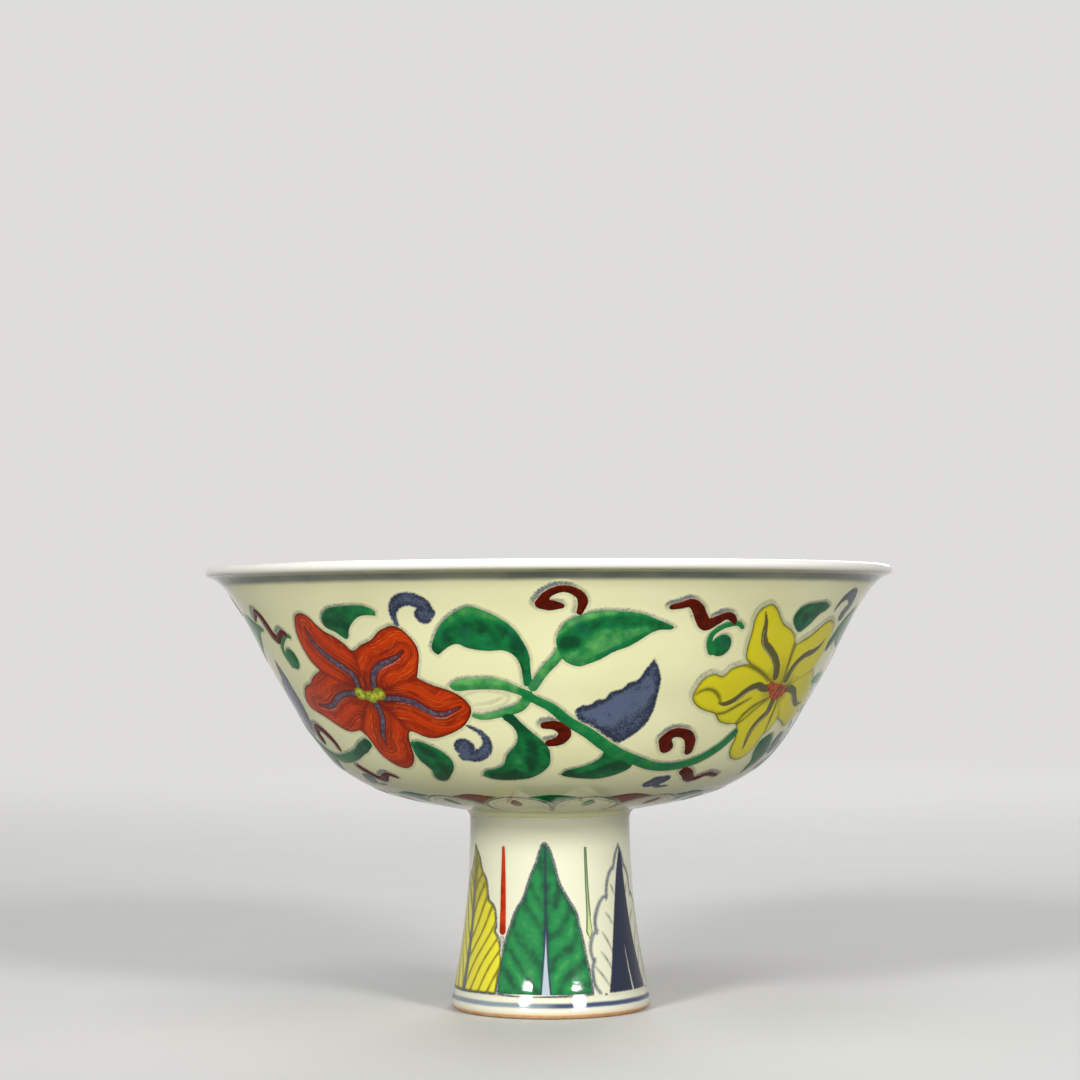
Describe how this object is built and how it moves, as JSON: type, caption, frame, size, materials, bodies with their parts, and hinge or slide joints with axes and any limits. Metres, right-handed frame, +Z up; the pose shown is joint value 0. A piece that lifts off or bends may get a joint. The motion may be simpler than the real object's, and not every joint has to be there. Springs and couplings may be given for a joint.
{
  "type": "stem bowl",
  "caption": "Shallow round bowl with an everted lip on a hollow flared stem, with painted trailing lilies and leaf panels.",
  "frame": {"origin": "on the table under the axis, in the plane of the foot ring", "axes": "+Z up along the axis; -Y faces the viewer of the picture, with the red lily to the left and the yellow lily to the right"},
  "size_m": [0.1656, 0.1656, 0.1059],
  "materials": {
    "bowl_glaze": "clear glossy glaze over painted porcelain",
    "stem_glaze": "clear glossy glaze over painted porcelain, foot ring bare",
    "slip_glaze": "glossy glaze pooled over the joint",
    "bare_porcelain": "unglazed fired body, wiped smooth",
    "cobalt_blue": "underglaze painting beneath the glaze",
    "green_enamel": "glassy overglaze enamel",
    "red_enamel": "thin satin overglaze enamel",
    "yellow_enamel": "glassy overglaze enamel",
    "aubergine_enamel": "thick glossy overglaze enamel"
  },
  "bodies": {
    "root": {"bowl": "bowl_glaze", "stem": "stem_glaze", "luting_slip": "slip_glaze"}
  },
  "joints": []
}
